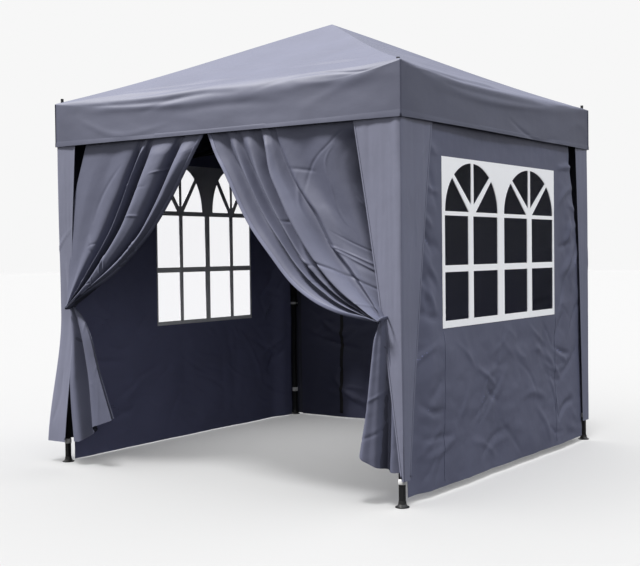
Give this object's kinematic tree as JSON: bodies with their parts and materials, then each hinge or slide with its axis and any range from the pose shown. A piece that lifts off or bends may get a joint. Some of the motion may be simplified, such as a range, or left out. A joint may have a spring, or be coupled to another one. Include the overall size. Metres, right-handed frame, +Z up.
{
  "type": "pop-up gazebo",
  "caption": "Square pop-up gazebo with a folding scissor frame, pyramid roof, valance, windowed side walls, tied-back front curtains and telescopic legs.",
  "frame": {"origin": "centre of the tent's footprint, on the ground", "axes": "+Z up; -Y is the front with the curtained doorway; +X is to the right of somebody who faces the front"},
  "size_m": [2.41, 2.41, 2.67],
  "materials": {
    "frame_steel": "satin black powder coat",
    "black_plastic": "matte moulded",
    "button_plastic": "matte moulded",
    "canopy_cloth": "coated woven polyester",
    "wall_cloth": "coated woven polyester",
    "curtain_cloth": "coated woven polyester",
    "cover_cloth": "coated woven polyester"
  },
  "bodies": {
    "hub": {"roof_hub": "black_plastic", "canopy": "canopy_cloth"},
    "centre_pole": {"centre_pole": "frame_steel"},
    "front_roof_bar": {"front_roof_bar": "frame_steel"},
    "front_mid_connector": {"front_mid_connector": "black_plastic"},
    "front_rising_bar_a": {"front_rising_bar_a": "frame_steel"},
    "front_falling_bar_a": {"front_falling_bar_a": "frame_steel"},
    "front_rising_bar_b": {"front_rising_bar_b": "frame_steel"},
    "front_falling_bar_b": {"front_falling_bar_b": "frame_steel"},
    "front_right_leg": {"front_right_upper_leg": "frame_steel", "front_right_bracket": "black_plastic", "front_right_leg_cover": "cover_cloth", "front_right_curtain": "curtain_cloth"},
    "front_right_slider": {"front_right_slider": "black_plastic"},
    "front_right_slider_button": {"front_right_slider_button": "button_plastic"},
    "front_right_lower_leg": {"front_right_lower_leg": "frame_steel"},
    "front_right_height_button": {"front_right_height_button": "button_plastic"},
    "right_roof_bar": {"right_roof_bar": "frame_steel"},
    "right_mid_connector": {"right_mid_connector": "black_plastic"},
    "right_rising_bar_a": {"right_rising_bar_a": "frame_steel"},
    "right_falling_bar_a": {"right_falling_bar_a": "frame_steel"},
    "right_rising_bar_b": {"right_rising_bar_b": "frame_steel"},
    "right_falling_bar_b": {"right_falling_bar_b": "frame_steel"},
    "back_right_leg": {"back_right_upper_leg": "frame_steel", "back_right_bracket": "black_plastic", "back_right_leg_cover": "cover_cloth", "right_wall": "wall_cloth"},
    "back_right_slider": {"back_right_slider": "black_plastic"},
    "back_right_slider_button": {"back_right_slider_button": "button_plastic"},
    "back_right_lower_leg": {"back_right_lower_leg": "frame_steel"},
    "back_right_height_button": {"back_right_height_button": "button_plastic"},
    "back_roof_bar": {"back_roof_bar": "frame_steel"},
    "back_mid_connector": {"back_mid_connector": "black_plastic"},
    "back_rising_bar_a": {"back_rising_bar_a": "frame_steel"},
    "back_falling_bar_a": {"back_falling_bar_a": "frame_steel"},
    "back_rising_bar_b": {"back_rising_bar_b": "frame_steel"},
    "back_falling_bar_b": {"back_falling_bar_b": "frame_steel"},
    "back_left_leg": {"back_left_upper_leg": "frame_steel", "back_left_bracket": "black_plastic", "back_left_leg_cover": "cover_cloth", "back_wall": "wall_cloth"},
    "back_left_slider": {"back_left_slider": "black_plastic"},
    "back_left_slider_button": {"back_left_slider_button": "button_plastic"},
    "back_left_lower_leg": {"back_left_lower_leg": "frame_steel"},
    "back_left_height_button": {"back_left_height_button": "button_plastic"},
    "left_roof_bar": {"left_roof_bar": "frame_steel"},
    "left_mid_connector": {"left_mid_connector": "black_plastic"},
    "left_rising_bar_a": {"left_rising_bar_a": "frame_steel"},
    "left_falling_bar_a": {"left_falling_bar_a": "frame_steel"},
    "left_rising_bar_b": {"left_rising_bar_b": "frame_steel"},
    "left_falling_bar_b": {"left_falling_bar_b": "frame_steel"},
    "front_left_leg": {"front_left_upper_leg": "frame_steel", "front_left_bracket": "black_plastic", "front_left_leg_cover": "cover_cloth", "left_wall": "wall_cloth", "front_left_curtain": "curtain_cloth"},
    "front_left_slider": {"front_left_slider": "black_plastic"},
    "front_left_slider_button": {"front_left_slider_button": "button_plastic"},
    "front_left_lower_leg": {"front_left_lower_leg": "frame_steel"},
    "front_left_height_button": {"front_left_height_button": "button_plastic"}
  },
  "joints": [
    {"name": "centre_pole_slide", "type": "slide", "parent": "hub", "child": "centre_pole", "axis": [0, 0, -1], "range_m": [0, 0.078], "stiffness_N_per_m": 1200, "springref_m": -0.012},
    {"name": "frame_fold", "type": "hinge", "parent": "hub", "child": "front_roof_bar", "pos_m": [0, -0.022, 2.112], "axis": [1, 0, 0], "range_deg": [0, 74], "deforming": ["canopy", "right_wall", "back_wall", "left_wall", "front_left_curtain", "front_right_curtain", "front_right_leg_cover", "back_right_leg_cover", "back_left_leg_cover", "front_left_leg_cover"]},
    {"name": "front_mid_connector_pivot", "type": "hinge", "parent": "front_roof_bar", "child": "front_mid_connector", "pos_m": [0, -1.14, 1.91487], "axis": [-1, 0, 0], "range_deg": [0, 74]},
    {"name": "front_low_pivot_a", "type": "hinge", "parent": "front_mid_connector", "child": "front_rising_bar_a", "pos_m": [0, -1.17, 1.91487], "axis": [0, -1, 0], "range_deg": [0, 74]},
    {"name": "front_low_pivot_b", "type": "hinge", "parent": "front_mid_connector", "child": "front_rising_bar_b", "pos_m": [0, -1.17, 1.91487], "axis": [0, 1, 0], "range_deg": [0, 74]},
    {"name": "front_cross_pivot_a", "type": "hinge", "parent": "front_rising_bar_a", "child": "front_falling_bar_a", "pos_m": [0.559, -1.17, 2.01343], "axis": [0, 1, 0], "range_deg": [0, 148]},
    {"name": "front_cross_pivot_b", "type": "hinge", "parent": "front_rising_bar_b", "child": "front_falling_bar_b", "pos_m": [-0.559, -1.17, 2.01343], "axis": [0, -1, 0], "range_deg": [0, 148]},
    {"name": "front_right_bracket_pivot", "type": "hinge", "parent": "front_rising_bar_a", "child": "front_right_leg", "pos_m": [1.118, -1.17, 2.112], "axis": [0, 1, 0], "range_deg": [0, 74]},
    {"name": "front_right_slider_pivot", "type": "hinge", "parent": "front_falling_bar_a", "child": "front_right_slider", "pos_m": [1.118, -1.17, 1.91487], "axis": [0, -1, 0], "range_deg": [0, 74]},
    {"name": "front_right_height", "type": "slide", "parent": "front_right_leg", "child": "front_right_lower_leg", "axis": [0, 0, 1], "range_m": [0, 0.7], "deforming": ["front_right_leg_cover"]},
    {"name": "front_right_height_press", "type": "slide", "parent": "front_right_leg", "child": "front_right_height_button", "axis": [1, 0, 0], "range_m": [0, 0.004], "stiffness_N_per_m": 1500, "springref_m": -0.002},
    {"name": "front_right_slider_press", "type": "slide", "parent": "front_right_slider", "child": "front_right_slider_button", "axis": [1, 0, 0], "range_m": [0, 0.004], "stiffness_N_per_m": 1500, "springref_m": -0.002},
    {"name": "right_roof_bar_pivot", "type": "hinge", "parent": "hub", "child": "right_roof_bar", "pos_m": [0.022, 0, 2.112], "axis": [0, 1, 0], "range_deg": [0, 74]},
    {"name": "right_mid_connector_pivot", "type": "hinge", "parent": "right_roof_bar", "child": "right_mid_connector", "pos_m": [1.14, 0, 1.91487], "axis": [0, -1, 0], "range_deg": [0, 74]},
    {"name": "right_low_pivot_a", "type": "hinge", "parent": "right_mid_connector", "child": "right_rising_bar_a", "pos_m": [1.17, 0, 1.91487], "axis": [1, 0, 0], "range_deg": [0, 74]},
    {"name": "right_low_pivot_b", "type": "hinge", "parent": "right_mid_connector", "child": "right_rising_bar_b", "pos_m": [1.17, 0, 1.91487], "axis": [-1, 0, 0], "range_deg": [0, 74]},
    {"name": "right_cross_pivot_a", "type": "hinge", "parent": "right_rising_bar_a", "child": "right_falling_bar_a", "pos_m": [1.17, 0.559, 2.01343], "axis": [-1, 0, 0], "range_deg": [0, 148]},
    {"name": "right_cross_pivot_b", "type": "hinge", "parent": "right_rising_bar_b", "child": "right_falling_bar_b", "pos_m": [1.17, -0.559, 2.01343], "axis": [1, 0, 0], "range_deg": [0, 148]},
    {"name": "back_right_bracket_pivot", "type": "hinge", "parent": "right_rising_bar_a", "child": "back_right_leg", "pos_m": [1.17, 1.118, 2.112], "axis": [-1, 0, 0], "range_deg": [0, 74]},
    {"name": "back_right_slider_pivot", "type": "hinge", "parent": "right_falling_bar_a", "child": "back_right_slider", "pos_m": [1.17, 1.118, 1.91487], "axis": [1, 0, 0], "range_deg": [0, 74]},
    {"name": "back_right_height", "type": "slide", "parent": "back_right_leg", "child": "back_right_lower_leg", "axis": [0, 0, 1], "range_m": [0, 0.7], "deforming": ["back_right_leg_cover"]},
    {"name": "back_right_height_press", "type": "slide", "parent": "back_right_leg", "child": "back_right_height_button", "axis": [0, 1, 0], "range_m": [0, 0.004], "stiffness_N_per_m": 1500, "springref_m": -0.002},
    {"name": "back_right_slider_press", "type": "slide", "parent": "back_right_slider", "child": "back_right_slider_button", "axis": [0, 1, 0], "range_m": [0, 0.004], "stiffness_N_per_m": 1500, "springref_m": -0.002},
    {"name": "back_roof_bar_pivot", "type": "hinge", "parent": "hub", "child": "back_roof_bar", "pos_m": [0, 0.022, 2.112], "axis": [-1, 0, 0], "range_deg": [0, 74]},
    {"name": "back_mid_connector_pivot", "type": "hinge", "parent": "back_roof_bar", "child": "back_mid_connector", "pos_m": [0, 1.14, 1.91487], "axis": [1, 0, 0], "range_deg": [0, 74]},
    {"name": "back_low_pivot_a", "type": "hinge", "parent": "back_mid_connector", "child": "back_rising_bar_a", "pos_m": [0, 1.17, 1.91487], "axis": [0, 1, 0], "range_deg": [0, 74]},
    {"name": "back_low_pivot_b", "type": "hinge", "parent": "back_mid_connector", "child": "back_rising_bar_b", "pos_m": [0, 1.17, 1.91487], "axis": [0, -1, 0], "range_deg": [0, 74]},
    {"name": "back_cross_pivot_a", "type": "hinge", "parent": "back_rising_bar_a", "child": "back_falling_bar_a", "pos_m": [-0.559, 1.17, 2.01343], "axis": [0, -1, 0], "range_deg": [0, 148]},
    {"name": "back_cross_pivot_b", "type": "hinge", "parent": "back_rising_bar_b", "child": "back_falling_bar_b", "pos_m": [0.559, 1.17, 2.01343], "axis": [0, 1, 0], "range_deg": [0, 148]},
    {"name": "back_left_bracket_pivot", "type": "hinge", "parent": "back_rising_bar_a", "child": "back_left_leg", "pos_m": [-1.118, 1.17, 2.112], "axis": [0, -1, 0], "range_deg": [0, 74]},
    {"name": "back_left_slider_pivot", "type": "hinge", "parent": "back_falling_bar_a", "child": "back_left_slider", "pos_m": [-1.118, 1.17, 1.91487], "axis": [0, 1, 0], "range_deg": [0, 74]},
    {"name": "back_left_height", "type": "slide", "parent": "back_left_leg", "child": "back_left_lower_leg", "axis": [0, 0, 1], "range_m": [0, 0.7], "deforming": ["back_left_leg_cover"]},
    {"name": "back_left_height_press", "type": "slide", "parent": "back_left_leg", "child": "back_left_height_button", "axis": [-1, 0, 0], "range_m": [0, 0.004], "stiffness_N_per_m": 1500, "springref_m": -0.002},
    {"name": "back_left_slider_press", "type": "slide", "parent": "back_left_slider", "child": "back_left_slider_button", "axis": [-1, 0, 0], "range_m": [0, 0.004], "stiffness_N_per_m": 1500, "springref_m": -0.002},
    {"name": "left_roof_bar_pivot", "type": "hinge", "parent": "hub", "child": "left_roof_bar", "pos_m": [-0.022, 0, 2.112], "axis": [0, -1, 0], "range_deg": [0, 74]},
    {"name": "left_mid_connector_pivot", "type": "hinge", "parent": "left_roof_bar", "child": "left_mid_connector", "pos_m": [-1.14, 0, 1.91487], "axis": [0, 1, 0], "range_deg": [0, 74]},
    {"name": "left_low_pivot_a", "type": "hinge", "parent": "left_mid_connector", "child": "left_rising_bar_a", "pos_m": [-1.17, 0, 1.91487], "axis": [-1, 0, 0], "range_deg": [0, 74]},
    {"name": "left_low_pivot_b", "type": "hinge", "parent": "left_mid_connector", "child": "left_rising_bar_b", "pos_m": [-1.17, 0, 1.91487], "axis": [1, 0, 0], "range_deg": [0, 74]},
    {"name": "left_cross_pivot_a", "type": "hinge", "parent": "left_rising_bar_a", "child": "left_falling_bar_a", "pos_m": [-1.17, -0.559, 2.01343], "axis": [1, 0, 0], "range_deg": [0, 148]},
    {"name": "left_cross_pivot_b", "type": "hinge", "parent": "left_rising_bar_b", "child": "left_falling_bar_b", "pos_m": [-1.17, 0.559, 2.01343], "axis": [-1, 0, 0], "range_deg": [0, 148]},
    {"name": "front_left_bracket_pivot", "type": "hinge", "parent": "left_rising_bar_a", "child": "front_left_leg", "pos_m": [-1.17, -1.118, 2.112], "axis": [1, 0, 0], "range_deg": [0, 74]},
    {"name": "front_left_slider_pivot", "type": "hinge", "parent": "left_falling_bar_a", "child": "front_left_slider", "pos_m": [-1.17, -1.118, 1.91487], "axis": [-1, 0, 0], "range_deg": [0, 74]},
    {"name": "front_left_height", "type": "slide", "parent": "front_left_leg", "child": "front_left_lower_leg", "axis": [0, 0, 1], "range_m": [0, 0.7], "deforming": ["front_left_leg_cover"]},
    {"name": "front_left_height_press", "type": "slide", "parent": "front_left_leg", "child": "front_left_height_button", "axis": [0, -1, 0], "range_m": [0, 0.004], "stiffness_N_per_m": 1500, "springref_m": -0.002},
    {"name": "front_left_slider_press", "type": "slide", "parent": "front_left_slider", "child": "front_left_slider_button", "axis": [0, -1, 0], "range_m": [0, 0.004], "stiffness_N_per_m": 1500, "springref_m": -0.002}
  ],
  "couplings": [
    {"joint": "front_mid_connector_pivot", "follows": "frame_fold", "ratio": 1},
    {"joint": "front_low_pivot_a", "follows": "frame_fold", "ratio": 1},
    {"joint": "front_low_pivot_b", "follows": "frame_fold", "ratio": 1},
    {"joint": "front_cross_pivot_a", "follows": "frame_fold", "ratio": 2},
    {"joint": "front_cross_pivot_b", "follows": "frame_fold", "ratio": 2},
    {"joint": "front_right_bracket_pivot", "follows": "frame_fold", "ratio": 1},
    {"joint": "front_right_slider_pivot", "follows": "frame_fold", "ratio": 1},
    {"joint": "right_roof_bar_pivot", "follows": "frame_fold", "ratio": 1},
    {"joint": "right_mid_connector_pivot", "follows": "frame_fold", "ratio": 1},
    {"joint": "right_low_pivot_a", "follows": "frame_fold", "ratio": 1},
    {"joint": "right_low_pivot_b", "follows": "frame_fold", "ratio": 1},
    {"joint": "right_cross_pivot_a", "follows": "frame_fold", "ratio": 2},
    {"joint": "right_cross_pivot_b", "follows": "frame_fold", "ratio": 2},
    {"joint": "back_right_bracket_pivot", "follows": "frame_fold", "ratio": 1},
    {"joint": "back_right_slider_pivot", "follows": "frame_fold", "ratio": 1},
    {"joint": "back_roof_bar_pivot", "follows": "frame_fold", "ratio": 1},
    {"joint": "back_mid_connector_pivot", "follows": "frame_fold", "ratio": 1},
    {"joint": "back_low_pivot_a", "follows": "frame_fold", "ratio": 1},
    {"joint": "back_low_pivot_b", "follows": "frame_fold", "ratio": 1},
    {"joint": "back_cross_pivot_a", "follows": "frame_fold", "ratio": 2},
    {"joint": "back_cross_pivot_b", "follows": "frame_fold", "ratio": 2},
    {"joint": "back_left_bracket_pivot", "follows": "frame_fold", "ratio": 1},
    {"joint": "back_left_slider_pivot", "follows": "frame_fold", "ratio": 1},
    {"joint": "left_roof_bar_pivot", "follows": "frame_fold", "ratio": 1},
    {"joint": "left_mid_connector_pivot", "follows": "frame_fold", "ratio": 1},
    {"joint": "left_low_pivot_a", "follows": "frame_fold", "ratio": 1},
    {"joint": "left_low_pivot_b", "follows": "frame_fold", "ratio": 1},
    {"joint": "left_cross_pivot_a", "follows": "frame_fold", "ratio": 2},
    {"joint": "left_cross_pivot_b", "follows": "frame_fold", "ratio": 2},
    {"joint": "front_left_bracket_pivot", "follows": "frame_fold", "ratio": 1},
    {"joint": "front_left_slider_pivot", "follows": "frame_fold", "ratio": 1}
  ]
}
